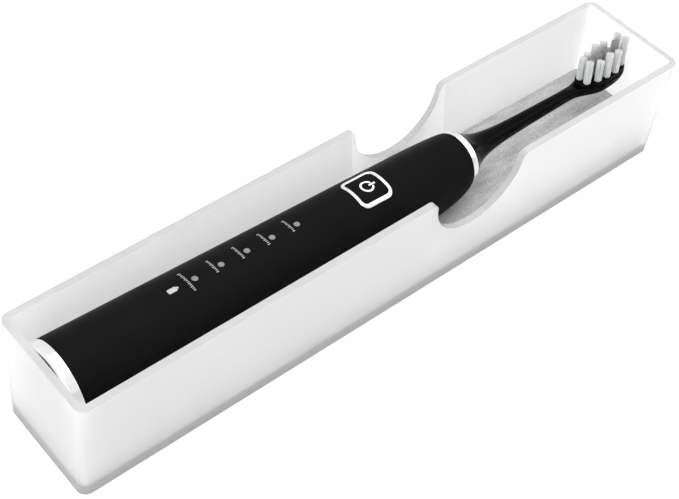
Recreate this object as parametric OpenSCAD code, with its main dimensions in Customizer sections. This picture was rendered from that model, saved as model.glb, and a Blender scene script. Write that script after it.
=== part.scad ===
// Sonic toothbrush lying in an open storage tray.
// Origin: centre of the tray's footprint on the table. +X runs from the brush's
// base to its bristle head, +Z is up. Millimetres.

/* [Tray] */
// Outside length of the tray
tray_l = 260; // [255:0.5:275]
// Outside width at the rim
tray_w = 44; // [43:0.5:60]
// Height of the tray
tray_h = 44.5; // [43:0.5:60]
// Thickness of the side and end walls
tray_wall = 2.5; // [1.8:0.1:3]
// Thickness of the floor
tray_floor = 3; // [2:0.5:4]
// How far each long wall leans in at the foot
tray_draft = 1; // [0:0.1:1.5]
// Outside radius of the upright corners
tray_corner = 3.5; // [2:0.5:6]
// Radius of the finger notches
notch_r = 19.8; // [12:0.1:22]
// Distance of the notch centre from the base end
notch_at = 159.4; // [120:0.2:190]
// Height of the notch centre
notch_z = 43.2; // [38:0.2:44]
// Radius of the rounded lips of the notches
lip_r = 2.6; // [1:0.1:4]

/* [Liner] */
// Height of the liner's upper face
liner_top = 13.9; // [10:0.1:16]
// Gap between the liner and the walls
liner_gap = 0.3; // [0.2:0.05:1]

/* [Handle] */
// Distance from the tray's outer end to the brush's base
brush_at = 3.4; // [3.2:0.1:6]
// Height of the drive axis above the table
axis_z = 29.15; // [28:0.05:34]
// Roll of the lying brush towards +Y, in degrees
brush_roll = 2.5; // [-5:0.5:5]
// Radius at the base
base_r = 15.55; // [14:0.05:16]
// Radius at the neck
neck_r = 10; // [8:0.1:11]
// Width of the bright ring at the base
base_ring_w = 3.6; // [2:0.1:6]
// Width of the bright ring at the neck
neck_ring_w = 2.4; // [1:0.1:4]
// Length of the handle from base to neck ring
handle_l = 166.8; // [160:0.2:175]
// Distance from the base to where the back starts to round
shoulder_at = 144.6; // [135:0.2:155]
// Wall of the handle
shell_wall = 1.6; // [1.2:0.1:2]

/* [Button and lamps] */
// Distance from the base to the button's centre
button_at = 124.8; // [110:0.1:130]
// Length of the bright frame round the button
frame_l = 14; // [12:0.1:16]
// Width of the frame
frame_w = 14; // [10:0.1:14.5]
// Breadth of the frame's rim
frame_rim = 1.4; // [0.8:0.1:2]
// Travel of the button
button_travel = 0.4; // [0.2:0.05:0.5]
// Distance from the base to the first mode lamp
lamp_at = 53.8; // [50:0.1:60]
// Distance between mode lamps
lamp_pitch = 10.2; // [8:0.1:11]
// Radius of a mode lamp
lamp_r = 1.1; // [0.6:0.05:1.5]
// Distance from the base to the charge lamp
charge_lamp_at = 45.2; // [40:0.1:48]

/* [Brush head] */
// Gap between the neck ring and the head
head_gap = 0.4; // [0.2:0.1:1]
// Radius of the head's skirt
skirt_r = 9.6; // [8:0.1:10]
// Radius of the slim shaft where it leaves the skirt
stem_r = 3.4; // [3:0.1:4]
// Radius of the slim shaft below the bristles
stem_end_r = 2.4; // [2:0.1:3]
// Distance from the base to the widest part of the oval head
oval_at = 239.6; // [235:0.1:241]
// Half width of the oval head
oval_r = 5.4; // [4:0.1:7]
// Distance from the base to the tip
tip_at = 253.8; // [250:0.1:253.9]
// Roll of the head on its shaft, in degrees
head_roll = 4; // [-8:0.5:8]
// Radius of a bristle tuft
tuft_r = 1.6; // [0.7:0.05:1.6]

/* [Hidden] */

smooth = 96;          // facets of a true round
soft = 48;            // facets of the blended handle
eps = 0.02;
big = 100;

front_slope = atan((base_r - neck_r) / (handle_l - base_ring_w));
skin_slope = front_slope / 2;
lamps = 5;
lamp_colour = [0.62, 0.62, 0.62];
black = [0.05, 0.05, 0.055];
bright = [0.86, 0.87, 0.88];

board_z = 5.45;       // underside of the control board above the drive axis
board_t = 1;
board_top = board_z + board_t;
led_h = 0.7;
cell_r = 7;
cell_z = -5;
cell_at = 30;
cell_l = 48;
chassis_t = 1.4;
chassis_y = 7.4;

shaft_r = 1.6;
shaft_flat = 1.15;
run = 0.06;           // running clearance round the shaft
shaft_from = 135.6;
shaft_to = 183.6;
flat_from = 170;      // where the flat that the head's coupling grips begins
can_from = 137;
can_to = 157;
can_r = 7.4;

head_from = handle_l + neck_ring_w + head_gap;
oval_lead = 14;       // length over which the shaft widens to the oval
oval_from = oval_at - oval_lead;
tip_blunt = 2.6;      // exponent of the oval's blunt end, 2 for an ellipse
belly_from = 239;     // where the underside begins to rise, over what length and how far
belly_l = 15;
belly_rise = 3.2;
plate_mid = 240;      // centre of the tuft plate's outline
plate_back = 10.5;
plate_lip = 0.3;      // height of the reveal under the plate
skirt_fade = 6.8;     // length over which the skirt narrows
plate_z = 1.3;
plate_top = 2.5;
head_bottom = -3.7;
coupling_r = 2.9;
coupling_to = 184.6;

cap_in = 0.15;        // gap round the button cap
stem_top = -1.6;      // underside of the cap below the front face
switch_z = -3.4;      // top of the switch housing below the front face
switch_h = 1.45;
plunger_r = 1.2;
plunger_up = 0.2;     // top of the plunger above the housing
screws_at = [40, 114];
screws_y = 4.4;
board_w = 11.4;

// Height of the front face and of the back above the drive axis
function front_z(x) = base_r - (x - base_ring_w) * tan(front_slope);
function back_z(x) = x <= shoulder_at ? -base_r
    : -base_r + (base_r - neck_r)
      * (1 - sqrt(max(0, 1 - pow((x - shoulder_at) / (handle_l - shoulder_at), 2))));
function mid_z(x) = (front_z(x) + back_z(x)) / 2;
function mid_r(x) = (front_z(x) - back_z(x)) / 2;
// Radius of the head's skirt and slim shaft
function stem(x) = stem_r + (stem_end_r - stem_r) * (x - head_from) / (oval_from - head_from)
    + (skirt_r - stem_r) * exp(-(x - head_from) / skirt_fade);
// Half width of the oval head, and the height of its underside
function oval(x) = x < oval_at
    ? stem_end_r + (oval_r - stem_end_r) * (1 - cos(180 * (x - oval_from) / oval_lead)) / 2
    : oval_r * blunt(sqrt(max(0, 1 - pow((x - oval_at) / (tip_at - oval_at), tip_blunt))));
function belly(x) = x < belly_from
    ? -stem_end_r + (head_bottom + stem_end_r)
        * (1 - cos(180 * (x - oval_from) / (belly_from - oval_from))) / 2
    : head_bottom + belly_rise * (1 - sqrt(max(0, 1 - pow((x - belly_from) / belly_l, 2))));
// A sine or cosine bent to the blunt end's outline
function blunt(v) = sign(v) * pow(abs(v), 2 / tip_blunt);

// Places children from the middle of the tray's base end
module from_end() translate([-tray_l / 2, 0, 0]) children();
// The brush's own frame: X along the drive axis from the base, Z to the front
module in_brush()
    translate([-tray_l / 2 + brush_at, 0, axis_z]) rotate([-brush_roll, 0, 0]) children();
module in_head() in_brush() rotate([-head_roll, 0, 0]) children();
// On the front face at a distance from the base, Z straight out of it
module on_front(x) translate([x, 0, front_z(x)]) rotate([0, front_slope, 0]) children();
// Turned about the X axis from an outline of [radius, distance] points
module turned() rotate([0, 90, 0]) rotate_extrude($fn = smooth) children();
module rod(x0, x1, r) translate([x0, 0, 0]) rotate([0, 90, 0]) cylinder(h = x1 - x0, r = r, $fn = smooth);
module tube(x0, x1, r_out, r_in)
    difference() {
        rod(x0, x1, r_out);
        rod(x0 - eps, x1 + eps, r_in);
    }
module rounded(l, w, r)
    union() {
        square([l - 2 * r, w], center = true);
        square([l, w - 2 * r], center = true);
        for (sx = [-1, 1], sy = [-1, 1])
            translate([sx * (l / 2 - r), sy * (w / 2 - r)]) circle(r = r, $fn = soft);
    }
// A prism running the tray's length with sides that lean in by the draft
module drafted(half_w, z0, z1)
    rotate([90, 0, 90]) linear_extrude(tray_l)
        polygon([for (s = [[-1, z0], [1, z0], [1, z1], [-1, z1]])
                 [s[0] * (half_w - tray_draft * (1 - s[1] / tray_h)), s[1]]]);

// ---- tray ----
module notch_outline() {
    translate([0, notch_z]) circle(r = notch_r, $fn = smooth);
    difference() {
        translate([-notch_r - lip_r, tray_h - lip_r]) square([2 * (notch_r + lip_r), lip_r + 2]);
        for (s = [-1, 1]) translate([s * (notch_r + lip_r), tray_h - lip_r]) circle(r = lip_r, $fn = soft);
    }
}
module tray_shell()
    color([0.93, 0.94, 0.95]) from_end()
        difference() {
            intersection() {
                translate([tray_l / 2, 0, 0]) linear_extrude(tray_h) rounded(tray_l, tray_w, tray_corner);
                drafted(tray_w / 2, 0, tray_h);
            }
            intersection() {
                translate([tray_l / 2, 0, tray_floor]) linear_extrude(tray_h)
                    rounded(tray_l - 2 * tray_wall, tray_w - 2 * tray_wall, tray_corner - tray_wall / 2);
                drafted(tray_w / 2 - tray_wall, tray_floor, tray_h + 1);
            }
            translate([notch_at, big, 0]) rotate([90, 0, 0]) linear_extrude(2 * big) notch_outline();
        }
module absorbent_liner()
    color([0.72, 0.72, 0.71])
        difference() {
            translate([0, 0, tray_floor]) linear_extrude(liner_top - tray_floor)
                rounded(tray_l - 2 * (tray_wall + liner_gap),
                        tray_w - 2 * (tray_wall + tray_draft + liner_gap - 0.05), 1.5);
            // Shallow seat in which the back of the handle and its base ring lie
            in_brush() {
                handle_form(liner_gap);
                rod(-1, base_ring_w, base_r + liner_gap);
            }
        }

// ---- handle casing ----
// The blended outside of the handle, grown by an amount
module handle_form(grow)
    hull()
        for (x = concat([base_ring_w - max(grow, 0) + eps],
                        [for (a = [0:15:90]) shoulder_at + (handle_l - shoulder_at) * sin(a)]))
            translate([x - eps, 0, mid_z(x)]) rotate([0, 90, 0])
                cylinder(h = eps, r = mid_r(x) + grow, $fn = soft);
module handle_shell()
    color(black) in_brush()
        difference() {
            handle_form(0);
            intersection() {
                handle_form(-shell_wall);
                translate([0, -big / 2, -big / 2]) cube([handle_l - 2.7, big, big]);
            }
            rod(0, 9.4, 14);
            rod(handle_l - 4, handle_l + 1, 5.5);
            on_front(button_at) translate([0, 0, -6]) linear_extrude(9) rounded(frame_l, frame_w, 3);
            for (i = [0:lamps - 1])
                on_front(lamp_at + i * lamp_pitch) translate([0, 0, -4])
                    cylinder(h = 8, r = lamp_r, $fn = soft);
            on_front(charge_lamp_at) translate([0, 0, -4]) linear_extrude(8) charge_lamp_outline();
        }
module base_ring()
    color(bright) in_brush() turned()
        polygon([[14.6, 0], [15.1, 0.15], [15.4, 0.45], [base_r, 0.9], [base_r, base_ring_w],
                 [13.9, base_ring_w], [13.9, 5.6], [12.7, 5.6], [12.7, 7], [13.9, 7], [13.9, 9],
                 [12, 9], [12, 2.7], [13.4, 2.7], [13.4, 0.5], [13.9, 0]]);
module base_cap()
    color(black) in_brush()
        difference() {
            rod(0.7, 2.7, 13.3);
            tube(0, 0.9, 9, 8.4);
        }
module base_seal()
    color([0.2, 0.2, 0.2]) in_brush() turned()
        translate([13.33, 6.3]) circle(r = 0.6, $fn = soft);
module neck_ring()
    color(bright) in_brush() turned()
        polygon([[6.5, handle_l], [neck_r, handle_l], [neck_r, handle_l + neck_ring_w - 0.4],
                 [neck_r - 0.4, handle_l + neck_ring_w], [6.5, handle_l + neck_ring_w]]);

// ---- button ----
// A solid under the front face, raised by an amount, long enough for the frame
module under_front(raise)
    let(x0 = button_at - 12, x1 = button_at + 12)
        translate([x0, 0, mid_z(x0)]) rotate([0, 90 + skin_slope, 0])
            cylinder(h = x1 - x0, r1 = mid_r(x0) + raise, r2 = mid_r(x1) + raise, $fn = smooth);
module button_frame()
    color(bright) in_brush()
        intersection() {
            difference() {
                under_front(0.5);
                under_front(-2.5);
            }
            on_front(button_at) translate([0, 0, -5]) linear_extrude(8)
                difference() {
                    rounded(frame_l, frame_w, 3);
                    rounded(frame_l - 2 * frame_rim, frame_w - 2 * frame_rim, 2);
                }
        }
module button_seal()
    color([0.15, 0.15, 0.15]) in_brush()
        intersection() {
            difference() {
                under_front(-2.55);
                under_front(-2.95);
            }
            on_front(button_at) translate([0, 0, -6]) linear_extrude(8)
                difference() {
                    rounded(frame_l - 0.4, frame_w - 0.6, 2.8);
                    circle(r = 2.1, $fn = soft);
                }
        }
module power_sign(grow)
    union() {
        difference() {
            circle(r = 2.5 + grow, $fn = soft);
            circle(r = 1.8 - grow, $fn = soft);
            translate([0, -0.95 + grow]) square([4, 1.9 - 2 * grow]);
        }
        translate([0.9 - grow, -0.35 - grow]) square([2.4 + 2 * grow, 0.7 + 2 * grow]);
    }
module power_button()
    color(black) in_brush() {
        difference() {
            intersection() {
                difference() {
                    under_front(0.2);
                    under_front(stem_top);
                }
                on_front(button_at) translate([0, 0, -5]) linear_extrude(8)
                    rounded(frame_l - 2 * (frame_rim + cap_in), frame_w - 2 * (frame_rim + cap_in), 1.9);
            }
            on_front(button_at) translate([0, 0, -0.3]) linear_extrude(3) power_sign(0);
        }
        on_front(button_at) translate([0, 0, switch_z + plunger_up])
            cylinder(h = stem_top - switch_z, r = plunger_r - 0.1, $fn = soft);
    }
module power_mark()
    color("white") in_brush()
        on_front(button_at) translate([0, 0, -0.3]) linear_extrude(0.3) power_sign(-0.01);
module switch_plunger()
    color([0.3, 0.3, 0.3]) in_brush()
        on_front(button_at) translate([0, 0, switch_z - plunger_up - button_travel])
            cylinder(h = button_travel + 2 * plunger_up, r = plunger_r, $fn = soft);
module switch_housing()
    color([0.25, 0.25, 0.27]) in_brush()
        on_front(button_at) translate([0, 0, switch_z - switch_h])
            difference() {
                linear_extrude(switch_h) rounded(4.6, 4.6, 0.4);
                translate([0, 0, 0.1]) cylinder(h = 3, r = plunger_r + 0.08, $fn = soft);
            }

// ---- lamps ----
module charge_lamp_outline() {
    rounded(3.4, 2, 0.5);
    translate([1.8, 0]) square([0.6, 0.9], center = true);
}
module mode_lamp(i)
    let(x = lamp_at + i * lamp_pitch, deep = front_z(x) - board_top - led_h - 0.15)
        color(lamp_colour) in_brush() on_front(x) translate([0, 0, -deep])
            cylinder(h = deep + 0.03, r = lamp_r - 0.01, $fn = soft);
module mode_lamp_1() mode_lamp(0);
module mode_lamp_2() mode_lamp(1);
module mode_lamp_3() mode_lamp(2);
module mode_lamp_4() mode_lamp(3);
module mode_lamp_5() mode_lamp(4);
module charge_lamp()
    let(deep = front_z(charge_lamp_at) - board_top - led_h - 0.15)
        color(lamp_colour) in_brush() on_front(charge_lamp_at) translate([0, 0, -deep])
            linear_extrude(deep + 0.03) charge_lamp_outline();
module lamp_leds()
    color([0.9, 0.9, 0.7]) in_brush()
        for (x = concat([charge_lamp_at], [for (i = [0:lamps - 1]) lamp_at + i * lamp_pitch]))
            translate([x - 1, -0.7, board_top]) cube([2, 1.4, led_h]);

// ---- electronics and carrier ----
module at_screws()
    for (x = screws_at, s = [-1, 1]) translate([x, screws_y * s, 0]) children();
module control_board()
    color([0.1, 0.35, 0.2]) in_brush()
        difference() {
            translate([36, -board_w / 2, board_z]) cube([98, board_w, board_t]);
            at_screws() cylinder(h = 20, r = 0.85, $fn = soft);
        }
module inner_chassis()
    color([0.85, 0.85, 0.83]) in_brush()
        difference() {
            union() {
                translate([14, -chassis_y, board_z - chassis_t]) cube([120, 2 * chassis_y, chassis_t]);
                for (s = [-1, 1])
                    translate([cell_at - 3, s * (chassis_y + 0.6) - 0.6, cell_z])
                        cube([cell_l + 6, 1.2, board_z - cell_z - 0.1]);
                translate([134, 0, 0]) tube(0, 7, 8.5, can_r + eps);
                translate([132, -5, 2.5]) cube([3, 10, board_z - 2.5]);
            }
            rod(134 - eps, 142, can_r + eps);
            at_screws() cylinder(h = 20, r = 0.6, $fn = soft);
            translate([cell_at - 1.4, 0, cell_z]) rod(0, cell_l + 2.8, cell_r + 0.1);
        }
module chassis_screws()
    color([0.7, 0.7, 0.72]) in_brush() at_screws() {
        translate([0, 0, board_z - chassis_t]) cylinder(h = board_t + chassis_t, r = 0.59, $fn = soft);
        difference() {
            translate([0, 0, board_top]) cylinder(h = 0.6, r = 1.1, $fn = soft);
            translate([-0.15, -1.2, board_top + 0.35]) cube([0.3, 2.4, 1]);
        }
    }
module battery_cell()
    color([0.25, 0.45, 0.7]) in_brush() translate([cell_at, 0, cell_z]) turned()
        polygon([[0, 0], [cell_r - 0.4, 0], [cell_r, 0.4], [cell_r, cell_l - 1.6],
                 [cell_r - 0.6, cell_l - 1], [2.4, cell_l - 1], [2.4, cell_l], [0, cell_l]]);
module battery_tabs()
    color([0.8, 0.8, 0.78]) in_brush()
        for (x = [cell_at - 0.35, cell_at + cell_l + 0.05])
            translate([x, -2, cell_z - 3]) cube([0.3, 4, 6]);
module charge_bobbin()
    color([0.9, 0.9, 0.88]) in_brush() turned()
        polygon([[5, 3.1], [11.5, 3.1], [11.5, 3.9], [6, 3.9],
                 [6, 8.4], [11.5, 8.4], [11.5, 9.2], [5, 9.2]]);
module charge_coil()
    color([0.75, 0.4, 0.2]) in_brush() tube(3.95, 8.35, 11, 6.05);
module ferrite_core()
    color([0.22, 0.22, 0.24]) in_brush() rod(3.1, 12, 4.95);

// ---- drive ----
module motor_can()
    color([0.75, 0.76, 0.78]) in_brush()
        difference() {
            rod(can_from, can_to, can_r);
            rod(can_from + 1, can_to - 1, can_r - 0.9);
            rod(can_from - 1, can_to + 1, 3);
        }
module motor_winding()
    color([0.75, 0.4, 0.2]) in_brush() tube(can_from + 2.5, can_to - 2.5, can_r - 1, 4.2);
module rear_bearing()
    color([0.7, 0.6, 0.3]) in_brush() tube(can_from - 0.4, can_from + 1.6, 2.98, shaft_r + run);
module front_bearing()
    color([0.7, 0.6, 0.3]) in_brush() tube(can_to - 1.6, can_to + 1, 2.98, shaft_r + run);
module shaft_seal()
    color([0.2, 0.2, 0.2]) in_brush() turned()
        polygon([[shaft_r + run, 161.5], [3.4, 161.5], [3.4, 163.2], [5.48, 163.2], [5.48, 166.4],
                 [4.2, 167.6], [shaft_r + run, 168]]);
module drive_shaft()
    color([0.8, 0.8, 0.82]) in_brush()
        difference() {
            rod(shaft_from, shaft_to, shaft_r);
            translate([flat_from, -big / 2, shaft_flat]) cube([big, big, big]);
        }
module rotor_magnet()
    color([0.45, 0.45, 0.48]) in_brush() tube(can_from + 3, can_to - 3, 3.9, shaft_r);

// ---- brush head ----
// Distance at a share of the way from the shaft's end to the widest part of the oval
function oval_x(share) = oval_from - eps + share * (oval_lead + eps);
module head_shell()
    color(black) in_head() {
        difference() {
            turned()
                polygon(concat([[0, head_from]],
                               [for (i = [0:12]) let(x = head_from + 26 * pow(i / 12, 1.5)) [stem(x), x]],
                               [[stem(oval_from), oval_from], [0, oval_from]]));
            rod(head_from - 1, coupling_to + 1, coupling_r + 0.01);
            rod(head_from - 1, head_from + 1, 6);
        }
        intersection() {
            translate([0, 0, -big / 2]) linear_extrude(big)
                polygon(concat([for (i = [0:20]) let(x = oval_x(i / 20)) [x, -oval(x)]],
                               [for (a = [10:10:170])
                                   [oval_at + (tip_at - oval_at) * blunt(sin(a)), -oval_r * blunt(cos(a))]],
                               [for (i = [20:-1:0]) let(x = oval_x(i / 20)) [x, oval(x)]]));
            rotate([90, 0, 0]) translate([0, 0, -big / 2]) linear_extrude(big)
                polygon(concat([[oval_from - eps, 2.2]],
                               [for (i = [0:20])
                                   let(x = oval_from - eps + (tip_at - oval_from + eps) * i / 20)
                                   [x, belly(x)]],
                               [[tip_at + 1, plate_z], [oval_from + 4, plate_z], [oval_from + 1, 2.2]]));
        }
    }
module head_coupling()
    color([0.9, 0.9, 0.88]) in_head()
        difference() {
            rod(head_from + 1, coupling_to, coupling_r);
            rotate([head_roll, 0, 0])
                difference() {
                    rod(head_from, coupling_to + 1, shaft_r + run);
                    translate([0, -big / 2, shaft_flat + run]) cube([big * 3, big, big]);
                }
        }
// Outline of the plate that holds the tufts, drawn in by an amount
module plate_outline(inset)
    let(back = plate_back - inset, fore = tip_at - 0.2 - plate_mid - inset, half = oval_r - 0.1 - inset)
        polygon([for (a = [0:8:352]) cos(a) < 0 ? [plate_mid + back * cos(a), half * sin(a)]
                                                : [plate_mid + fore * blunt(cos(a)), half * blunt(sin(a))]]);
module tuft_plate()
    color(black) in_head() {
        translate([0, 0, plate_z]) linear_extrude(plate_lip) plate_outline(0.5);
        translate([0, 0, plate_z + plate_lip])
            linear_extrude(plate_top - plate_z - plate_lip) plate_outline(0);
    }
// A tuft stands at [distance, side], with its tips at a height above the drive axis
module tuft(place)
    translate([place[0], place[1], plate_top]) cylinder(h = place[2] - plate_top, r = tuft_r, $fn = 24);
module outer_tufts()
    color([0.93, 0.93, 0.93]) in_head()
        for (s = [-1, 1], p = [[232.9, 1.75, 12], [237.2, 3.2, 11.4], [241.6, 3.6, 12.9],
                               [246.2, 3.6, 11.9], [251.2, 1.8, 14.6]])
            tuft([p[0], s * p[1], p[2]]);
module inner_tufts()
    color([0.6, 0.6, 0.6]) in_head()
        for (p = [[235.8, 0, 10.6], [239.6, 0.1, 11.6], [243.6, 0.1, 12.2], [247.5, 0, 13.4]])
            tuft(p);

tray_shell();
absorbent_liner();
handle_shell();
base_ring();
base_cap();
base_seal();
neck_ring();
button_frame();
button_seal();
power_button();
power_mark();
switch_plunger();
switch_housing();
mode_lamp_1();
mode_lamp_2();
mode_lamp_3();
mode_lamp_4();
mode_lamp_5();
charge_lamp();
lamp_leds();
control_board();
inner_chassis();
chassis_screws();
battery_cell();
battery_tabs();
charge_bobbin();
charge_coil();
ferrite_core();
motor_can();
motor_winding();
rear_bearing();
front_bearing();
shaft_seal();
drive_shaft();
rotor_magnet();
head_shell();
head_coupling();
tuft_plate();
outer_tufts();
inner_tufts();
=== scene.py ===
import math
import random

import bmesh
import bpy
from mathutils import Matrix, Quaternion, Vector


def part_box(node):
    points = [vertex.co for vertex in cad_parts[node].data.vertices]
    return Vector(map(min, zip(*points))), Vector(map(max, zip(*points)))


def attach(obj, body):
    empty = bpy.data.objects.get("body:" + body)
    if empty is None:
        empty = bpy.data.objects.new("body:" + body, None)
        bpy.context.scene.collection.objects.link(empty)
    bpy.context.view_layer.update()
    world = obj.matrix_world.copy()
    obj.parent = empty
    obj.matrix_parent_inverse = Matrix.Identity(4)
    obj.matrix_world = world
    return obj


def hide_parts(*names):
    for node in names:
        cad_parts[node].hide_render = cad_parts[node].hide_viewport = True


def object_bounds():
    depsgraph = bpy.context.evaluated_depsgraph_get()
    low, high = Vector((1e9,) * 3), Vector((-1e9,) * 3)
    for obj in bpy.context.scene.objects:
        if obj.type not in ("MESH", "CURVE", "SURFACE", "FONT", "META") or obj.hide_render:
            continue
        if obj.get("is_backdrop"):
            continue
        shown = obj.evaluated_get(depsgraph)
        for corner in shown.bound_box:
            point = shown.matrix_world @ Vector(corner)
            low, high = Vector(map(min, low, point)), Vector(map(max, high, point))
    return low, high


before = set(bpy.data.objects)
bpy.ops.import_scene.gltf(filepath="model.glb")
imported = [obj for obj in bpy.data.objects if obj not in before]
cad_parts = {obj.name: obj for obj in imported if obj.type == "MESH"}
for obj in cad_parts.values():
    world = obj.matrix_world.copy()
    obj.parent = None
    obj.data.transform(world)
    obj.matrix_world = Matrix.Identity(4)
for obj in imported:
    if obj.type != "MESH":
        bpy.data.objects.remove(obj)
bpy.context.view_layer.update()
print("frame loaded with", len(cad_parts), "nodes")

mm = 0.001
toMetres = Matrix.Diagonal((mm, mm, mm, 1))


# A number on a socket: Python's operators add Math nodes to its finish
class Level:
    def __init__(self, finish, socket):
        self.finish, self.socket = finish, socket

    def combine(self, operation, first, second):
        return self.finish.node("ShaderNodeMath", {"operation": operation}, {0: first, 1: second})

    def __add__(self, other):
        return self.combine("ADD", self, other)

    def __radd__(self, other):
        return self.combine("ADD", other, self)

    def __sub__(self, other):
        return self.combine("SUBTRACT", self, other)

    def __rsub__(self, other):
        return self.combine("SUBTRACT", other, self)

    def __mul__(self, other):
        return self.combine("MULTIPLY", self, other)

    def __rmul__(self, other):
        return self.combine("MULTIPLY", other, self)

    def __gt__(self, other):
        return self.combine("GREATER_THAN", self, other)

    def __lt__(self, other):
        return self.combine("LESS_THAN", self, other)


# One material: its Principled shader, and the nodes that vary it
class Finish:
    def __init__(self, name, fixed):
        self.material = bpy.data.materials.new(name)
        self.material.use_nodes = True
        self.tree = self.material.node_tree
        self.shader = self.tree.nodes["Principled BSDF"]
        for socket, value in fixed.items():
            self.shader.inputs[socket].default_value = value

    # Any node: its type, its settings, then the values or links of its sockets
    def node(self, kind, settings=None, sockets=None, out=0):
        made = self.tree.nodes.new(kind)
        for key, value in (settings or {}).items():
            setattr(made, key, value)
        for key, value in (sockets or {}).items():
            self.feed(made.inputs[key], value)
        return Level(self, made.outputs[out])

    def feed(self, target, value):
        if isinstance(value, Level):
            self.tree.links.new(value.socket, target)
        else:
            target.default_value = value

    def drive(self, colour, rough, normal):
        for socket, value in (("Base Color", colour), ("Roughness", rough), ("Normal", normal)):
            self.feed(self.shader.inputs[socket], value)

    # Noise whose grains are size millimetres, drawn out by stretch
    def noise(self, size, detail=3, stretch=(1, 1, 1), shift=(0, 0, 0)):
        place = self.node("ShaderNodeTexCoord", out=3)
        drawn = self.node("ShaderNodeMapping", {"vector_type": "POINT"},
                          {"Vector": place, "Location": shift,
                           "Scale": [1 / (size * mm * s) for s in stretch]})
        return self.node("ShaderNodeTexNoise", {"noise_dimensions": "3D"},
                         {"Vector": drawn, "Scale": 1, "Detail": detail, "Roughness": 0.55})

    def mix(self, mask, first, second):
        return self.node("ShaderNodeMix", {"data_type": "RGBA"},
                         {0: mask, 6: (*first, 1) if isinstance(first, tuple) else first,
                          7: (*second, 1) if isinstance(second, tuple) else second}, out=2)

    def bump(self, height, depth):
        return self.node("ShaderNodeBump", None,
                         {"Strength": 1, "Distance": depth * mm, "Height": height})


# A plain moulded, drawn or turned finish: two close colours in patches, and a fine grain
def finishOf(name, look):
    finish = Finish(name, look.get("fixed", {}))
    patches = finish.noise(look.get("patch", 6), 2)
    grain = finish.noise(look["grain"], 3, look.get("stretch", (1, 1, 1)))
    finish.drive(colour=finish.mix((patches - 0.5) * 2.2 + 0.5, look["colour"], look["second"]),
                 rough=look["rough"] + (grain - 0.5) * look.get("spread", 0.1),
                 normal=finish.bump(grain, look["depth"]))
    return finish.material


finishes = {
    "soft_black": dict(colour=(0.0034, 0.0034, 0.0035), second=(0.0046, 0.0046, 0.0048), patch=18,
                       grain=0.16, depth=0.012, rough=0.5, spread=0.12,
                       fixed={"Specular IOR Level": 0.03}),
    "gloss_black": dict(colour=(0.0016, 0.0016, 0.0017), second=(0.0024, 0.0024, 0.0026), patch=12,
                        grain=3.5, depth=0.004, rough=0.16, spread=0.05,
                        fixed={"Specular IOR Level": 0.035}),
    "chrome": dict(colour=(0.84, 0.845, 0.85), second=(0.90, 0.90, 0.905), patch=5,
                   grain=0.4, stretch=(0.3, 3, 3), depth=0.0006, rough=0.14, spread=0.05,
                   fixed={"Metallic": 1}),
    "seal_rubber": dict(colour=(0.02, 0.02, 0.02), second=(0.03, 0.03, 0.03), grain=0.2, depth=0.01,
                        rough=0.7),
    "white_inlay": dict(colour=(0.70, 0.70, 0.70), second=(0.78, 0.78, 0.78), patch=2, grain=0.15,
                        depth=0.004, rough=0.42),
    "switch_plastic": dict(colour=(0.05, 0.05, 0.055), second=(0.07, 0.07, 0.075), grain=0.3,
                           depth=0.005, rough=0.4),
    "lamp_lens": dict(colour=(0.145, 0.145, 0.146), second=(0.19, 0.19, 0.192), patch=1.2, grain=0.12,
                      depth=0.003, rough=0.35, fixed={"Specular IOR Level": 0.3}),
    "charge_lens": dict(colour=(0.32, 0.32, 0.323), second=(0.39, 0.39, 0.394), patch=1.2, grain=0.12,
                        depth=0.003, rough=0.35, fixed={"Specular IOR Level": 0.3}),
    "mark_ink": dict(colour=(0.36, 0.36, 0.36), second=(0.46, 0.46, 0.46), patch=1, grain=0.1,
                     depth=0.002, rough=0.5),
    "led_package": dict(colour=(0.8, 0.78, 0.6), second=(0.86, 0.85, 0.75), patch=0.5, grain=0.2,
                        depth=0.003, rough=0.35),
    "carrier_white": dict(colour=(0.72, 0.72, 0.69), second=(0.78, 0.78, 0.76), grain=0.35, depth=0.006,
                          rough=0.48),
    "steel": dict(colour=(0.52, 0.53, 0.55), second=(0.62, 0.63, 0.64), grain=0.25,
                  stretch=(4, 0.6, 0.6), depth=0.003, rough=0.28, fixed={"Metallic": 1}),
    "cell_sleeve": dict(colour=(0.07, 0.16, 0.36), second=(0.09, 0.2, 0.42), patch=10, grain=1.5,
                        depth=0.01, rough=0.3),
    "copper_wire": dict(colour=(0.75, 0.30, 0.13), second=(0.86, 0.40, 0.19), grain=0.2,
                        stretch=(0.5, 6, 6), depth=0.02, rough=0.32, fixed={"Metallic": 0.9}),
    "ferrite": dict(colour=(0.035, 0.035, 0.04), second=(0.055, 0.055, 0.06), patch=1, grain=0.18,
                    depth=0.01, rough=0.6),
    "bearing_brass": dict(colour=(0.66, 0.47, 0.2), second=(0.75, 0.56, 0.27), grain=0.25, depth=0.004,
                          rough=0.3, fixed={"Metallic": 1}),
    "magnet": dict(colour=(0.3, 0.3, 0.32), second=(0.38, 0.38, 0.4), grain=0.3, depth=0.004,
                   rough=0.35, fixed={"Metallic": 0.9}),
    "bristle_white": dict(colour=(0.60, 0.60, 0.60), second=(0.80, 0.80, 0.80), patch=0.4, grain=0.2,
                          depth=0.003, rough=0.38, fixed={"Subsurface Weight": 0.15,
                                                          "Subsurface Scale": 0.0006}),
    "bristle_grey": dict(colour=(0.26, 0.26, 0.262), second=(0.36, 0.36, 0.362), patch=0.4, grain=0.2,
                         depth=0.003, rough=0.38),
}
materials = {name: finishOf(name, look) for name, look in finishes.items()}


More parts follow.
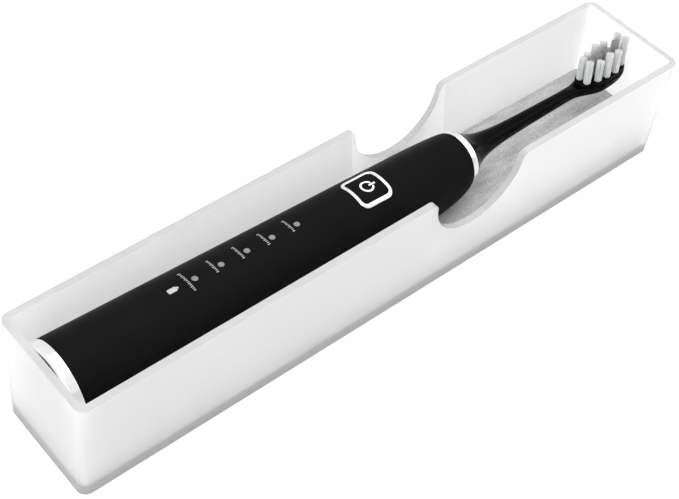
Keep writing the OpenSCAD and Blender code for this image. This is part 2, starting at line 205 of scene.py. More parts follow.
# Frosted plastic: cloudy all through, with a satin skin; the rims and notch faces, their rounded bevels
# and the floor slab carry painted shade
def frostedFinish(look):
    finish = Finish("frosted_tray", {"Transmission Weight": look["clear"], "IOR": look["ior"],
                                     "Specular IOR Level": 0.4})
    cloud = finish.noise(look["cloud"], 3)
    satin = finish.noise(look["satin"], 2)
    facing = finish.node("ShaderNodeTexCoord", out=1)
    place = finish.node("ShaderNodeTexCoord", out=3)
    upward = finish.node("ShaderNodeSeparateXYZ", None, {0: facing}, out=2)
    sideways = finish.node("ShaderNodeSeparateXYZ", None, {0: facing}, out=1)
    along = finish.node("ShaderNodeSeparateXYZ", None, {0: place})
    height = finish.node("ShaderNodeSeparateXYZ", None, {0: place}, out=2)
    above = height > look["floorTop"] * 2 * mm
    top = upward > look["flatFrom"]
    inWall = sideways * sideways < look["wallFrom"] ** 2
    notch = inWall * (along * along < (look["notchReach"] * mm) ** 2)
    # Painted shade: the rims and the notch faces are mixed towards the flat grey edge colour
    rim = (top + notch * (1 - top)) * above
    # Painted shade: the rounded bevels, picked by their slope, get a dark grey outline in the line
    # colour
    corner = (upward > look["cornerFrom"]) * (upward < look["cornerTo"]) * above * look["paintedBevelShade"]
    # Painted shade: the lowest 3 mm, the floor slab, is mixed a little towards the edge grey, so it
    # reads darker
    slab = (height < look["floorTop"] * mm) * look["paintedSlabShade"]
    body = finish.mix((cloud - 0.5) * look["cloudy"] + 0.5, look["colour"], look["second"])
    # The cloudy body with painted shade on the rims and bevels
    shadedEdges = finish.mix(corner, finish.mix(rim, body, look["edge"]), look["line"])
    finish.drive(colour=finish.mix(slab, shadedEdges, look["edge"]),
                 rough=look["rough"] + (satin - 0.5) * look["spread"] - rim * look["polish"],
                 normal=finish.bump(satin, look["depth"]))
    return finish.material


# The edge and line colours and the corner and slab tones are painted shade on the rims, bevels and floor
# slab
frosted = dict(clear=0.70, ior=1.3, cloud=30, satin=0.25, depth=0.0015, rough=0.42, polish=0.04,
               colour=(0.975, 0.975, 0.975), second=(0.99, 0.99, 0.99), edge=(0.70, 0.70, 0.70),
               line=(0.45, 0.45, 0.45), paintedBevelShade=0.3, floorTop=3, paintedSlabShade=0.06,
               notchReach=110, flatFrom=0.55, wallFrom=0.5, cornerFrom=0.15, cornerTo=0.94, cloudy=2,
               spread=0.08)
materials["frosted_tray"] = frostedFinish(frosted)


# Pressed mineral slab: clouds, long faint streaks and small dark and pale specks
def stoneFinish(look):
    finish = Finish("liner_stone", {"Specular IOR Level": 0.2})
    cloud = finish.noise(look["cloud"], 4)
    streak = finish.noise(look["streak"], 5, look["drawn"])
    fine = finish.noise(look["fine"], 4)
    speck = finish.noise(look["speck"], 1, shift=(40, 12, 5))
    tone = ((cloud - 0.5) * look["cloudy"] + (streak - 0.5) * look["streaky"]
            + (fine - 0.5) * look["grainy"] + 0.5)
    ground = finish.mix(tone, look["dark"], look["pale"])
    marked = finish.mix((speck > look["few"]) * look["fleckTone"], ground, look["fleck"])
    pores = finish.mix(((1 - speck) > look["few"]) * look["poreTone"], marked, look["pore"])
    finish.drive(colour=pores, rough=look["rough"] + (fine - 0.5) * look["spread"],
                 normal=finish.bump(fine + streak * look["ridged"], look["depth"]))
    return finish.material


stone = dict(cloud=14, streak=2.2, drawn=(5, 1, 1), fine=0.6, speck=0.7, few=0.64, rough=0.8, depth=0.05,
             dark=(0.35, 0.35, 0.35), pale=(0.53, 0.53, 0.526), fleck=(0.65, 0.65, 0.642),
             pore=(0.23, 0.23, 0.23), fleckTone=0.55, poreTone=0.5, cloudy=1.2, streaky=2.4, grainy=1.3,
             spread=0.15, ridged=0.6)
materials["liner_stone"] = stoneFinish(stone)


# Circuit board: green mask over a grid of faint tracks
def boardFinish(look):
    finish = Finish("board_green", {"Specular IOR Level": 0.5})
    place = finish.node("ShaderNodeTexCoord", out=3)
    tracks = finish.node("ShaderNodeTexWave", {"wave_type": "BANDS", "bands_direction": "Y"},
                         {"Vector": place, "Scale": look["tracks"], "Distortion": look["bends"],
                          "Detail": 1}, out=1)
    grain = finish.noise(look["grain"], 2)
    shown = (tracks > look["few"]) * look["showing"]
    finish.drive(colour=finish.mix(shown, look["mask"], look["copper"]),
                 rough=look["rough"] + (grain - 0.5) * look["spread"],
                 normal=finish.bump(tracks, look["depth"]))
    return finish.material


board = dict(tracks=160, bends=4, few=0.72, showing=0.7, mask=(0.02, 0.13, 0.06),
             copper=(0.09, 0.26, 0.13), grain=0.3, rough=0.32, spread=0.1, depth=0.01)
materials["board_green"] = boardFinish(board)
print("finishes made:", len(materials))


# Makes a piece from millimetres, places it, hangs it under its body's empty, gives it its slot's
# material and hides the CAD nodes it replaces
def addPiece(name, verts, faces, place, body, slot, replaced=(), sharp=32, finish=None):
    mesh = bpy.data.meshes.new(name)
    mesh.from_pydata([tuple(v) for v in verts], [], faces)
    mesh.transform(place @ toMetres)
    piece = bpy.data.objects.new(name, mesh)
    bpy.context.scene.collection.objects.link(piece)
    tidyMesh(mesh, sharp)
    mesh.materials.append(materials[finish or slot])
    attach(piece, body)
    if replaced:
        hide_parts(*replaced)
    return piece


# Merges what meets, turns faces outward and shades smooth up to an angle
def tidyMesh(mesh, sharp):
    work = bmesh.new()
    work.from_mesh(mesh)
    bmesh.ops.remove_doubles(work, verts=work.verts, dist=0.002 * mm)
    bmesh.ops.recalc_face_normals(work, faces=work.faces)
    work.to_mesh(mesh)
    work.free()
    mesh.shade_smooth()
    mesh.set_sharp_from_angle(angle=math.radians(sharp))


# Faces through rings that have the same number of points each
def loft(rings, around=False, capped=True):
    count = len(rings[0])
    verts = [p for ring in rings for p in ring]
    faces = []
    last = len(rings) if around else len(rings) - 1
    for i in range(last):
        a, b = i * count, (i + 1) % len(rings) * count
        faces += [(a + k, a + (k + 1) % count, b + (k + 1) % count, b + k) for k in range(count)]
    if capped and not around:
        faces += [tuple(range(count)), tuple(range(len(verts) - count, len(verts)))]
    return verts, faces


def joined(parts):
    verts, faces = [], []
    for partVerts, partFaces in parts:
        faces += [tuple(i + len(verts) for i in face) for face in partFaces]
        verts += partVerts
    return verts, faces


# A closed outline of (a, b, rounding) corners, each eased by its rounding
def eased(corners, steps=5):
    out = []
    for i, (a, b, rounding) in enumerate(corners):
        here = Vector((a, b))
        before = Vector(corners[i - 1][:2])
        after = Vector(corners[(i + 1) % len(corners)][:2])
        start = here + (before - here).normalized() * rounding
        end = here + (after - here).normalized() * rounding
        for k in range(steps + 1 if rounding else 1):
            t = k / steps
            curved = start * (1 - t) ** 2 + here * 2 * t * (1 - t) + end * t ** 2
            out.append(curved if rounding else here)
    return out


# Rings about the brush's long axis, through (distance, radius) points
def turned(profile, facets=160):
    return [[(x, r * math.cos(a), r * math.sin(a)) for a in turnsOf(facets)] for x, r in profile]


def turnsOf(count):
    return [2 * math.pi * k / count for k in range(count)]


# Outline of a rectangle with round corners, with the same points at any inset
def roundedOutline(length, width, radius, inset=0, steps=10, sides=12):
    halfL, halfW, r = length / 2 - inset, width / 2 - inset, max(radius - inset, 0.05)
    corners = [(1, 1), (-1, 1), (-1, -1), (1, -1)]
    points = []
    for i, (sx, sy) in enumerate(corners):
        mid = Vector((sx * (halfL - r), sy * (halfW - r)))
        arc = [mid + r * Vector((math.cos(a), math.sin(a)))
               for a in (math.pi / 2 * (i + k / steps) for k in range(steps + 1))]
        sx2, sy2 = corners[(i + 1) % 4]
        nextMid = Vector((sx2 * (halfL - r), sy2 * (halfW - r)))
        turn = math.pi / 2 * (i + 1)
        nextStart = nextMid + r * Vector((math.cos(turn), math.sin(turn)))
        points += arc + [arc[-1].lerp(nextStart, k / sides) for k in range(1, sides)]
    return points


# Applies an object's modifiers to its mesh
def settle(piece, sharp=32):
    graph = bpy.context.evaluated_depsgraph_get()
    mesh = bpy.data.meshes.new_from_object(piece.evaluated_get(graph))
    piece.modifiers.clear()
    piece.data = mesh
    tidyMesh(mesh, sharp)


def cutter(verts, faces, place):
    mesh = bpy.data.meshes.new("cutter")
    mesh.from_pydata([tuple(v) for v in verts], [], faces)
    mesh.transform(place @ toMetres)
    tidyMesh(mesh, 30)
    made = bpy.data.objects.new("cutter", mesh)
    bpy.context.scene.collection.objects.link(made)
    return made


def carve(piece, cutters):
    for tool in cutters:
        cut = piece.modifiers.new("carve", "BOOLEAN")
        cut.operation, cut.solver, cut.object = "DIFFERENCE", "EXACT", tool
    settle(piece)
    for tool in cutters:
        bpy.data.objects.remove(tool)


def softenEdges(piece, width, segments=3, angle=35):
    edge = piece.modifiers.new("edges", "BEVEL")
    edge.width, edge.segments = width * mm, segments
    edge.limit_method, edge.angle_limit = "ANGLE", math.radians(angle)
    edge.use_clamp_overlap = True
    settle(piece, angle)


# The tray: a drafted box, hollowed, with a finger notch through both long walls
tray = dict(wall=2.5, floor=3, draft=1, corner=3.5, innerCorner=0.9, notchRadius=19.8, notchAt=159.4,
            notchHeight=43.2, lip=2.6, edge=0.25, reach=40)
trayLow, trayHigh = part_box("tray_shell")
traySize = (trayHigh - trayLow) / mm
trayMid = Vector(((trayLow.x + trayHigh.x) / 2, (trayLow.y + trayHigh.y) / 2, trayLow.z))
trayPlace = Matrix.Translation(trayMid)


def trayRing(height, inset, radius):
    lean = tray["draft"] * (1 - height / traySize.z)
    outline = roundedOutline(traySize.x - 2 * inset, traySize.y - 2 * (inset + lean), radius, 0, 12, 40)
    return [(p.x, p.y, height) for p in outline]


def notchCutter():
    r, lip, top = tray["notchRadius"], tray["lip"], traySize.z
    outline = [(-r - lip, top + 3), (-r - lip, top)]
    outline += [(-r - lip + lip * math.sin(a), top - lip + lip * math.cos(a))
                for a in (math.pi / 2 * k / 12 for k in range(1, 13))]
    drop = math.asin((tray["notchHeight"] - top + lip) / r)
    outline += [(-r * math.cos(a), tray["notchHeight"] - r * math.sin(a))
                for a in (drop + (math.pi - 2 * drop) * k / 72 for k in range(73))]
    outline += [(r + lip - lip * math.sin(a), top - lip + lip * math.cos(a))
                for a in (math.pi / 2 * k / 12 for k in range(12, 0, -1))]
    outline += [(r + lip, top), (r + lip, top + 3)]
    middle = tray["notchAt"] - traySize.x / 2
    return loft([[(x + middle, y, z) for x, z in outline] for y in (-tray["reach"], tray["reach"])])


trayPiece = addPiece("trayShell", *loft([trayRing(z, 0, tray["corner"]) for z in (0, traySize.z)]),
                     trayPlace, "tray", "frosted_tray", ("tray_shell",))
carve(trayPiece, [cutter(*loft([trayRing(z, tray["wall"], tray["innerCorner"])
                                for z in (tray["floor"], traySize.z + 1)]), trayPlace),
                  cutter(*notchCutter(), trayPlace)])
softenEdges(trayPiece, tray["edge"], 3)
print("tray made")


# The handle lies along x, rolled a little; its front slopes down to the neck
brush = dict(roll=2.5, baseRadius=15.55, neckRadius=10, baseRing=3.6, handleLength=166.8,
             shoulderAt=144.6, wall=1.6, endHole=5.5, endWall=2.7)
baseLow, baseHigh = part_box("base_ring")
brushOrigin = Vector((baseLow.x, (baseLow.y + baseHigh.y) / 2, (baseLow.z + baseHigh.z) / 2))
brushPlace = Matrix.Translation(brushOrigin) @ Matrix.Rotation(math.radians(-brush["roll"]), 4, "X")
frontSlope = (brush["baseRadius"] - brush["neckRadius"]) / (brush["handleLength"] - brush["baseRing"])


def frontHeight(x):
    return brush["baseRadius"] - (x - brush["baseRing"]) * frontSlope


def backHeight(x):
    if x <= brush["shoulderAt"]:
        return -brush["baseRadius"]
    share = min(1, (x - brush["shoulderAt"]) / (brush["handleLength"] - brush["shoulderAt"]))
    rise = brush["baseRadius"] - brush["neckRadius"]
    return -brush["baseRadius"] + rise * (1 - math.sqrt(1 - share ** 2))


def handleRing(x, shrink, facets=192):
    middle, radius = (frontHeight(x) + backHeight(x)) / 2, (frontHeight(x) - backHeight(x)) / 2 - shrink
    return [(x, radius * math.sin(a), middle + radius * math.cos(a)) for a in turnsOf(facets)]


# A point a height above the handle's front skin
def onSkin(x, y, height):
    middle, radius = (frontHeight(x) + backHeight(x)) / 2, (frontHeight(x) - backHeight(x)) / 2
    return (x, y, middle + math.sqrt(max(radius ** 2 - y ** 2, 0)) + height)


def handleRings():
    end, first = brush["handleLength"], brush["baseRing"]
    wall, shoulder = brush["wall"], brush["shoulderAt"]
    rings = [handleRing(first + 0.02, 0.22), handleRing(first + 0.08, 0.08), handleRing(first + 0.24, 0)]
    rings += [handleRing(first + 0.24 + (shoulder - first - 0.24) * k / 48, 0) for k in range(1, 49)]
    span = end - 0.25 - shoulder
    rings += [handleRing(shoulder + span * math.sin(math.pi / 2 * k / 28), 0) for k in range(1, 29)]
    rings += [handleRing(end - 0.08, 0.08), handleRing(end - 0.02, 0.22)]
    hole = brush["neckRadius"] - brush["endHole"]
    rings += [handleRing(end - 0.02, hole), handleRing(end - brush["endWall"], hole)]
    back = [end - brush["endWall"] - (end - brush["endWall"] - first) * k / 40 for k in range(41)]
    rings += [handleRing(x, wall) for x in back]
    return rings


buttons = dict(at=124.8, length=14, width=14, corner=3, rim=1.4, raised=0.5, frameFoot=-2.4, pocket=6,
               capGap=0.15, capCorner=1.9, capRaised=0.2, capUnder=-1.5, middle=5.2)
lamps = dict(first=53.8, pitch=10.2, radius=1.1, number=5, chargeAt=45.2, chargeLength=3.4,
             chargeWidth=2, chargeCorner=0.5, hole=4, foot=3)
lampSpots = [lamps["first"] + lamps["pitch"] * i for i in range(lamps["number"])]


# A prism through the front skin, from an outline round a spot
def skinCutter(spot, outline, deep, clear=4):
    rings = [[(spot + p[0], p[1], frontHeight(spot) + z) for p in outline] for z in (-deep, clear)]
    return cutter(*loft(rings), brushPlace)


def discOutline(radius, count=48):
    return [Vector((radius * math.cos(a), radius * math.sin(a))) for a in turnsOf(count)]


handlePiece = addPiece("handleShell", *loft(handleRings(), around=True), brushPlace, "handle",
                       "soft_black", ("handle_shell",))
frameOutline = roundedOutline(buttons["length"], buttons["width"], buttons["corner"])
chargeOutline = roundedOutline(lamps["chargeLength"], lamps["chargeWidth"], lamps["chargeCorner"],
                               0, 4, 3)
carve(handlePiece, [skinCutter(buttons["at"], frameOutline, buttons["pocket"])]
      + [skinCutter(x, discOutline(lamps["radius"]), lamps["hole"]) for x in lampSpots]
      + [skinCutter(lamps["chargeAt"], chargeOutline, lamps["hole"])])
print("handle made")


# Bright rings and base cap, turned from (distance, radius, rounding) corners
def turnedPiece(name, corners, slot, replaced):
    outline = [(p.x, p.y) for p in eased(corners)]
    addPiece(name, *loft(turned(outline, 192), around=True), brushPlace, "handle", slot, replaced, 40)


baseRing = [(0, 13.9, 0.2), (0, 14.6, 0.3), (0.45, 15.4, 0.3), (0.9, 15.55, 0.2), (3.6, 15.55, 0.12),
            (3.6, 13.9, 0), (5.6, 13.9, 0), (5.6, 12.7, 0), (7, 12.7, 0), (7, 13.9, 0), (9, 13.9, 0.1),
            (9, 12, 0.1), (2.7, 12, 0), (2.7, 13.4, 0), (0.5, 13.4, 0.15)]
turnedPiece("baseRing", baseRing, "chrome", ("base_ring",))

baseCap = [(2.7, 0.01, 0), (2.7, 13.3, 0.1), (0.7, 13.3, 0.25), (0.7, 9.05, 0.1), (0.95, 8.95, 0.05),
           (0.95, 8.45, 0.05), (0.7, 8.35, 0.1), (0.7, 0.01, 0)]
turnedPiece("baseCap", baseCap, "soft_black", ("base_cap",))

neckRing = [(166.8, 6.5, 0), (166.8, 10, 0.15), (169.2, 10, 0.45), (169.2, 6.5, 0.2)]
turnedPiece("neckRing", neckRing, "chrome", ("neck_ring",))


# Rings round a spot on the skin, each an outline at an inset and a height
def skinRings(spot, outlineAt, steps):
    return [[onSkin(spot + p[0], p[1], height) for p in outlineAt(inset)] for inset, height in steps]


def frameAt(inset):
    return roundedOutline(buttons["length"], buttons["width"], buttons["corner"], inset)


def capAt(inset):
    rim = buttons["rim"] + buttons["capGap"]
    return roundedOutline(buttons["length"] - 2 * rim, buttons["width"] - 2 * rim,
                          buttons["capCorner"], inset)


rim, raised, frameFoot = buttons["rim"], buttons["raised"], buttons["frameFoot"]
frameSteps = [(0.02, frameFoot), (0.02, raised - 0.45), (0.07, raised - 0.25), (0.2, raised - 0.09),
              (0.42, raised), (rim - 0.42, raised), (rim - 0.2, raised - 0.09),
              (rim - 0.07, raised - 0.25), (rim - 0.02, raised - 0.45), (rim - 0.02, frameFoot)]
addPiece("buttonFrame", *loft(skinRings(buttons["at"], frameAt, frameSteps), around=True), brushPlace,
         "handle", "chrome", ("button_frame",), 50)

# The cap's top and underside both follow the skin, so neither is one flat face
top, under = buttons["capRaised"], buttons["capUnder"]
capInsets = [0.34 + 0.55 * k for k in range(1, 9)] + [buttons["middle"]]
capSteps = [(inset, under) for inset in reversed(capInsets)]
capSteps += [(0.02, under), (0.02, top - 0.3), (0.06, top - 0.14), (0.16, top - 0.04), (0.34, top)]
capSteps += [(inset, top) for inset in capInsets]
addPiece("powerButton", *loft(skinRings(buttons["at"], capAt, capSteps)), brushPlace, "button",
         "soft_black", ("power_button",), 50)


# A thin raised line on the skin through points, with round ends
def skinLine(points, width, low, high):
    path, half = [Vector(p) for p in points], width / 2
    last = len(path) - 1
    alongs = [(path[min(i + 1, last)] - path[max(i - 1, 0)]).normalized() for i in range(last + 1)]
    turns = [math.pi / 2 * k / 5 for k in range(1, 5)] + [math.radians(86)]
    stations = [(path[0] - alongs[0] * half * math.sin(a), alongs[0], half * math.cos(a))
                for a in turns[::-1]]
    stations += [(p, along, half) for p, along in zip(path, alongs)]
    stations += [(path[-1] + alongs[-1] * half * math.sin(a), alongs[-1], half * math.cos(a))
                 for a in turns]
    rings = []
    for p, along, reach in stations:
        side = Vector((-along.y, along.x)) * reach
        rings.append([onSkin(*(p + side), low), onSkin(*(p + side), high), onSkin(*p, high),
                      onSkin(*(p - side), high), onSkin(*(p - side), low)])
    return loft(rings)


def arcPoints(radius, start, end, count, middle):
    turns = [math.radians(start + (end - start) * k / count) for k in range(count + 1)]
    return [(middle + radius * math.cos(a), radius * math.sin(a)) for a in turns]


sign = dict(radius=2.15, gap=27, line=0.7, barFrom=1.1, barTo=3.15, barWidth=0.7, sunk=0.1,
            proud=0.03)
signLow, signHigh = top - sign["sunk"], top + sign["proud"]
signParts = [skinLine(arcPoints(sign["radius"], sign["gap"], 360 - sign["gap"], 56, buttons["at"]),
                      sign["line"], signLow, signHigh),
             skinLine([(buttons["at"] + sign["barFrom"] + (sign["barTo"] - sign["barFrom"]) * k / 4, 0)
                       for k in range(5)], sign["barWidth"], signLow, signHigh)]
addPiece("powerMark", *joined(signParts), brushPlace, "button", "white_inlay", ("power_mark",))
print("button made")


# A lamp's edge, from its foot up to a faint dome
def lampSteps(depth, edge=0.12):
    return [(0.01, -depth), (0.01, -edge), (edge * 0.35, -edge * 0.3), (edge, 0.02)]


for i, spot in enumerate(lampSpots):
    steps = lampSteps(lamps["foot"]) + [(0.4, 0.03), (0.8, 0.04)]
    rings = skinRings(spot, lambda inset: discOutline(lamps["radius"] - inset), steps)
    addPiece(f"modeLamp{i + 1}", *loft(rings), brushPlace, "handle", "lamp_lens",
             (f"mode_lamp_{i + 1}",))


def cellAt(inset):
    return roundedOutline(lamps["chargeLength"], lamps["chargeWidth"], lamps["chargeCorner"],
                          inset, 4, 3)


def cellTipAt(inset):
    return [p + Vector((1.95, 0)) for p in roundedOutline(0.7, 0.9, 0.15, inset, 3, 2)]


cellSteps = lampSteps(lamps["foot"]) + [(0.4, 0.03), (0.9, 0.03)]
chargeParts = [loft(skinRings(lamps["chargeAt"], cellAt, cellSteps)),
               loft(skinRings(lamps["chargeAt"], cellTipAt, [(0, -0.6), (0, -0.03), (0.05, 0.02)]))]
addPiece("chargeLamp", *joined(chargeParts), brushPlace, "handle", "lamp_lens", ("charge_lamp",),
         finish="charge_lens")

# Beside each lamp stands a row of short printed ticks, in place of words
marks = dict(back=2.75, high=4.0, low=-1.8, firstHigh=4.9, firstLow=-3.6, pitch=0.72, width=0.26,
             lengths=(1.0, 0.75, 0.75, 0.95, 0.75), start=0.45, sunk=-0.05, proud=0.02)


def tickRow(x, high, low):
    number = round((high - low) / marks["pitch"])
    rows = []
    for k in range(number + 1):
        y = high - (high - low) * k / number
        length = marks["lengths"][k % len(marks["lengths"])] - marks["width"]
        points = [(x + marks["start"] - length * n / 2, y) for n in range(3)]
        rows.append(skinLine(points, marks["width"], marks["sunk"], marks["proud"]))
    return rows


markParts = []
for i, spot in enumerate(lampSpots):
    high, low = (marks["high"], marks["low"]) if i else (marks["firstHigh"], marks["firstLow"])
    markParts += tickRow(spot - marks["back"], high, low)
addPiece("modeMarks", *joined(markParts), brushPlace, "handle", "white_inlay", finish="mark_ink")
print("lamps and marks made")


# The head: a skirt, a slim shaft and a flat oval
head = dict(roll=4, start=169.6, skirt=9.6, stem=3.4, stemEnd=2.4, fade=6.8, ovalFrom=225.6,
            ovalAt=239.6, ovalHalf=5.4, tip=253.8, blunt=2.6, plate=1.3, plateTop=2.5, bottom=-3.7,
            bellyFrom=239, bellyLength=15, bellyRise=3.2, hole=6, plateBack=10.5, plateMiddle=240,
            reveal=0.3, revealIn=0.5, flatBefore=4, flatAfter=5, lift=0.16, squareTop=2.2,
            squareBelow=0.9)
headPlace = brushPlace @ Matrix.Rotation(math.radians(-head["roll"]), 4, "X")


def stemRadius(x):
    share = (x - head["start"]) / (head["ovalFrom"] - head["start"])
    flare = (head["skirt"] - head["stem"]) * math.exp(-(x - head["start"]) / head["fade"])
    return head["stem"] + (head["stemEnd"] - head["stem"]) * share + flare


def ovalHalf(x):
    if x < head["ovalAt"]:
        share = (x - head["ovalFrom"]) / (head["ovalAt"] - head["ovalFrom"])
        gain = head["ovalHalf"] - head["stemEnd"]
        return head["stemEnd"] + gain * (1 - math.cos(math.pi * share)) / 2
    share = min(1, (x - head["ovalAt"]) / (head["tip"] - head["ovalAt"]))
    return head["ovalHalf"] * (1 - share ** head["blunt"]) ** (1 / head["blunt"])


def bellyHeight(x):
    if x < head["bellyFrom"]:
        share = max(0, (x - head["ovalFrom"]) / (head["bellyFrom"] - head["ovalFrom"]))
        drop = head["bottom"] + head["stemEnd"]
        return -head["stemEnd"] + drop * (1 - math.cos(math.pi * share)) / 2
    share = min(1, (x - head["bellyFrom"]) / head["bellyLength"])
    return head["bottom"] + head["bellyRise"] * (1 - math.sqrt(1 - share ** 2))


def smoothShare(x, start, end):
    t = min(1, max(0, (x - start) / (end - start)))
    return t * t * (3 - 2 * t)


# A head section: round on the shaft, then flat on top and full below at the oval
def headRing(x, facets=96):
    flat = smoothShare(x, head["ovalFrom"] - head["flatBefore"], head["ovalFrom"] + head["flatAfter"])
    if x < head["ovalFrom"]:
        half = stemRadius(x)
        upper, lower = half, -half
    else:
        half, upper, lower = ovalHalf(x), head["stemEnd"], bellyHeight(x)
    upper = upper + (head["plate"] - upper) * flat
    lower = lower + (bellyHeight(x) - lower) * flat
    middle = (upper + lower) / 2 + (upper - lower) * head["lift"] * flat
    ring = []
    for a in turnsOf(facets):
        c, s = math.cos(a), math.sin(a)
        power = 2 / (2 + (head["squareTop"] if s > 0 else head["squareBelow"]) * flat)
        y = half * math.copysign(abs(c) ** power, c)
        z = (upper - middle if s > 0 else middle - lower) * math.copysign(abs(s) ** power, s)
        ring.append((x, y, middle + z))
    return ring


headStart = head["start"]
edgeRings = turned([(headStart + 1, 0.01), (headStart + 1, head["hole"]), (headStart, head["hole"]),
                    (headStart, head["skirt"] - 0.25), (headStart + 0.06, head["skirt"] - 0.1)], 96)
lengthways = [headStart + 0.25 + (head["ovalFrom"] - 5 - headStart) * (k / 44) ** 1.5 for k in range(45)]
lengthways += [head["ovalFrom"] - 4 + k * 0.6 for k in range(1, 30)]
tipFrom = head["ovalAt"] - 0.5
lengthways = [x for x in lengthways if x < tipFrom]
tipSpan = head["tip"] - 0.03 - tipFrom
lengthways += [tipFrom + tipSpan * math.sin(math.pi / 2 * k / 24) for k in range(25)]
addPiece("headShell", *loft(edgeRings + [headRing(x) for x in lengthways]), headPlace,
         "head", "gloss_black", ("head_shell",), 50)


# A sine or cosine bent to the blunt end's outline
def bluntly(value):
    return math.copysign(abs(value) ** (2 / head["blunt"]), value)


def plateOutline(inset, count=96):
    back = head["plateBack"] - inset
    fore = head["tip"] - 0.2 - head["plateMiddle"] - inset
    half = head["ovalHalf"] - 0.1 - inset
    return [(back * math.cos(a), half * math.sin(a)) if math.cos(a) < 0
            else (fore * bluntly(math.cos(a)), half * bluntly(math.sin(a))) for a in turnsOf(count)]


def plateRing(inset, height):
    return [(head["plateMiddle"] + x, y, height) for x, y in plateOutline(inset)]


plateFoot, plateTop, revealIn = head["plate"], head["plateTop"], head["revealIn"]
revealTop = plateFoot + head["reveal"]
plateSteps = [(revealIn + 1, plateFoot - 0.1), (revealIn, plateFoot - 0.1), (revealIn, revealTop - 0.03),
              (0.1, revealTop), (0, revealTop + 0.12), (0, plateTop - 0.35), (0.07, plateTop - 0.15),
              (0.2, plateTop - 0.04), (0.4, plateTop), (1.5, plateTop), (3, plateTop)]
addPiece("tuftPlate", *loft([plateRing(inset, height) for inset, height in plateSteps]), headPlace,
         "head", "gloss_black", ("tuft_plate",), 50)
print("head made")


# Tufts are (distance, side, tip height, lean to the tip); their ends slant along the head
bristles = dict(radiusX=1.55, radiusY=1.3, thread=0.15, number=84, splay=0.05, spread=0.09, slant=-0.28,
                uneven=0.2, turn=2.39996, jitter=0.2, reach=0.93, rooted=0.1, tipDrop=0.25)
outerTufts = [(232.9, 1.75, 12, 0.1), (237.2, 3.2, 11.4, 0.1), (241.6, 3.6, 12.9, 0.2),
              (246.2, 3.6, 11.9, 0.4), (251.2, 1.8, 14.6, 0.4)]
innerTufts = [(235.8, 0, 10.6, 0.2), (239.6, 0.1, 11.6, 0.3), (243.6, 0.1, 12.2, 0.5),
              (247.5, 0, 13.4, 0.9)]


def tuftThreads(x, y, tipHeight, tilt, chance):
    parts = []
    foot = head["plateTop"] - bristles["rooted"]
    for k in range(bristles["number"]):
        reach = math.sqrt((k + 0.5) / bristles["number"]) * bristles["reach"]
        turn = k * bristles["turn"] + chance.uniform(-bristles["jitter"], bristles["jitter"])
        dx = bristles["radiusX"] * reach * math.cos(turn)
        dy = bristles["radiusY"] * reach * math.sin(turn)
        tip = (tipHeight - bristles["tipDrop"] + dx * bristles["slant"]
               + chance.uniform(-1, 1) * bristles["uneven"])
        lean = [bristles["splay"] * d + chance.uniform(-1, 1) * bristles["spread"] for d in (dx, dy)]
        lean[0] += tilt
        r = bristles["thread"]
        rings = []
        for share, thick in ((0, 1), (0.4, 1), (0.8, 0.95), (0.97, 0.8), (1, 0.35)):
            height = foot + (tip - foot) * share
            bend = share ** 1.5
            rings.append([(x + dx + lean[0] * bend + r * thick * math.cos(a),
                           y + dy + lean[1] * bend + r * thick * math.sin(a), height)
                          for a in turnsOf(6)])
        parts.append(loft(rings))
    return parts


chance = random.Random(7)
outerParts = [part for side in (-1, 1) for x, y, tip, tilt in outerTufts
              for part in tuftThreads(x, side * y, tip, tilt, chance)]
innerParts = [part for x, y, tip, tilt in innerTufts for part in tuftThreads(x, y, tip, tilt, chance)]
addPiece("outerTufts", *joined(outerParts), headPlace, "head", "bristle_white", ("outer_tufts",), 60)
addPiece("innerTufts", *joined(innerParts), headPlace, "head", "bristle_grey", ("inner_tufts",), 60)
print("bristles made")


# The liner: a loose slab with a seat cut for the handle
liner = dict(gap=0.3, corner=1.5, edge=0.6, seatFrom=-1)
linerLow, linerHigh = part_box("absorbent_liner")
linerSize = (linerHigh - linerLow) / mm
linerPlace = Matrix.Translation(((linerLow.x + linerHigh.x) / 2, (linerLow.y + linerHigh.y) / 2,
                                 linerLow.z))
linerOutline = roundedOutline(linerSize.x, linerSize.y, liner["corner"], 0, 8, 30)
linerRings = [[(p.x, p.y, z) for p in linerOutline] for z in (0, linerSize.z)]
linerPiece = addPiece("absorbentLiner", *loft(linerRings), linerPlace, "liner", "liner_stone",
                      ("absorbent_liner",))
seatXs = [liner["seatFrom"], brush["baseRing"], brush["shoulderAt"]]
seatXs += [brush["shoulderAt"] + (brush["handleLength"] - brush["shoulderAt"]) * math.sin(a)
           for a in (math.pi / 2 * k / 12 for k in range(1, 13))]
carve(linerPiece, [cutter(*loft([handleRing(x, -liner["gap"]) for x in seatXs]), brushPlace)])
softenEdges(linerPiece, liner["edge"], 3, 30)
print("liner made")


# Parts inside keep their CAD shape and get their finish here
inside = {
    "seal_rubber": ["base_seal", "button_seal", "shaft_seal"],
    "switch_plastic": ["switch_plunger", "switch_housing"],
    "led_package": ["lamp_leds"],
    "board_green": ["control_board"],
    "carrier_white": ["inner_chassis", "charge_bobbin", "head_coupling"],
    "steel": ["chassis_screws", "battery_tabs", "motor_can", "drive_shaft"],
    "cell_sleeve": ["battery_cell"],
    "copper_wire": ["charge_coil", "motor_winding"],
    "ferrite": ["ferrite_core"],
    "bearing_brass": ["rear_bearing", "front_bearing"],
    "magnet": ["rotor_magnet"],
}
for slotName, nodes in inside.items():
    for node in nodes:
        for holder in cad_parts[node].material_slots:
            holder.material = materials[slotName]


# Floor, light and camera
studio = dict(floorSize=6, floorColour=(0.90, 0.90, 0.90), tooth=1.2, rough=0.85, spread=0.1,
              depth=0.01, world=(1, 1, 1), worldStrength=0.96)


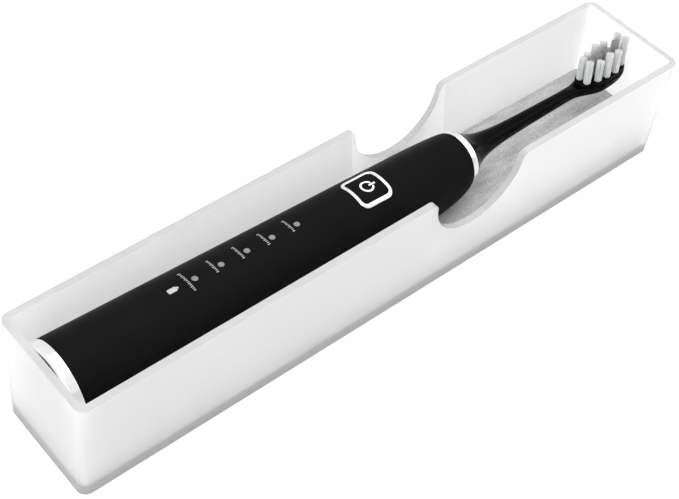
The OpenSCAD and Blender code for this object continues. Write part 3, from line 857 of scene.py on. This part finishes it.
def floorPiece():
    half = studio["floorSize"] / 2
    steps = [-half, -0.8, -0.3, 0, 0.3, 0.8, half]
    verts = [(x, y, trayLow.z) for y in steps for x in steps]
    n = len(steps)
    faces = [(j * n + i, j * n + i + 1, (j + 1) * n + i + 1, (j + 1) * n + i)
             for j in range(n - 1) for i in range(n - 1)]
    mesh = bpy.data.meshes.new("floor")
    mesh.from_pydata(verts, [], faces)
    finish = Finish("floorPaper", {"Specular IOR Level": 0.1})
    tooth = finish.noise(studio["tooth"], 3)
    finish.drive(colour=finish.mix(tooth, studio["floorColour"],
                                   tuple(c * 1.02 for c in studio["floorColour"])),
                 rough=studio["rough"] + (tooth - 0.5) * studio["spread"],
                 normal=finish.bump(tooth, studio["depth"]))
    mesh.materials.append(finish.material)
    made = bpy.data.objects.new("floor", mesh)
    bpy.context.scene.collection.objects.link(made)
    made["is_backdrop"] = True


floorPiece()
world = bpy.data.worlds.new("studio")
world.use_nodes = True
world.node_tree.nodes["Background"].inputs["Color"].default_value = (*studio["world"], 1)
world.node_tree.nodes["Background"].inputs["Strength"].default_value = studio["worldStrength"]
bpy.context.scene.world = world

# Each softbox: where it stands, what it points at, its two sides and its power
softboxes = {
    "overhead": dict(eye=(0.0, 0.15, 0.95), aim=(0, 0, 0), size=(1.3, 1.0), watts=9),
    "left": dict(eye=(-0.9, -0.35, 0.55), aim=(-0.05, 0, 0.02), size=(0.7, 0.9), watts=4),
    "right": dict(eye=(0.8, -0.6, 0.6), aim=(0.05, 0, 0.02), size=(0.6, 0.8), watts=2),
}


def aimed(eye, aim):
    return (Vector(aim) - Vector(eye)).to_track_quat("-Z", "Y")


for name, box in softboxes.items():
    lamp = bpy.data.lights.new(name, "AREA")
    lamp.shape, lamp.energy = "RECTANGLE", box["watts"]
    lamp.size, lamp.size_y = box["size"]
    stand = bpy.data.objects.new(name, lamp)
    stand.rotation_mode = "QUATERNION"
    stand.location, stand.rotation_quaternion = box["eye"], aimed(box["eye"], box["aim"])
    bpy.context.scene.collection.objects.link(stand)

shot = dict(eye=(-255.31, -230.34, 394.47), aim=(-13.11, 27.89, 20), roll=5.575, lens=78.756,
            shift=(0.0814, -0.0811))
cameraData = bpy.data.cameras.new("camera")
cameraData.sensor_width, cameraData.lens = 36, shot["lens"]
cameraData.shift_x, cameraData.shift_y = shot["shift"]
camera = bpy.data.objects.new("camera", cameraData)
camera.rotation_mode = "QUATERNION"
camera.location = trayMid + Vector(shot["eye"]) * mm
roll = Quaternion((0, 0, 1), math.radians(shot["roll"]))
camera.rotation_quaternion = aimed(shot["eye"], shot["aim"]) @ roll
bpy.context.scene.collection.objects.link(camera)
bpy.context.scene.camera = camera
bpy.context.scene.view_settings.view_transform = "Standard"
print("studio set")

low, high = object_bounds()
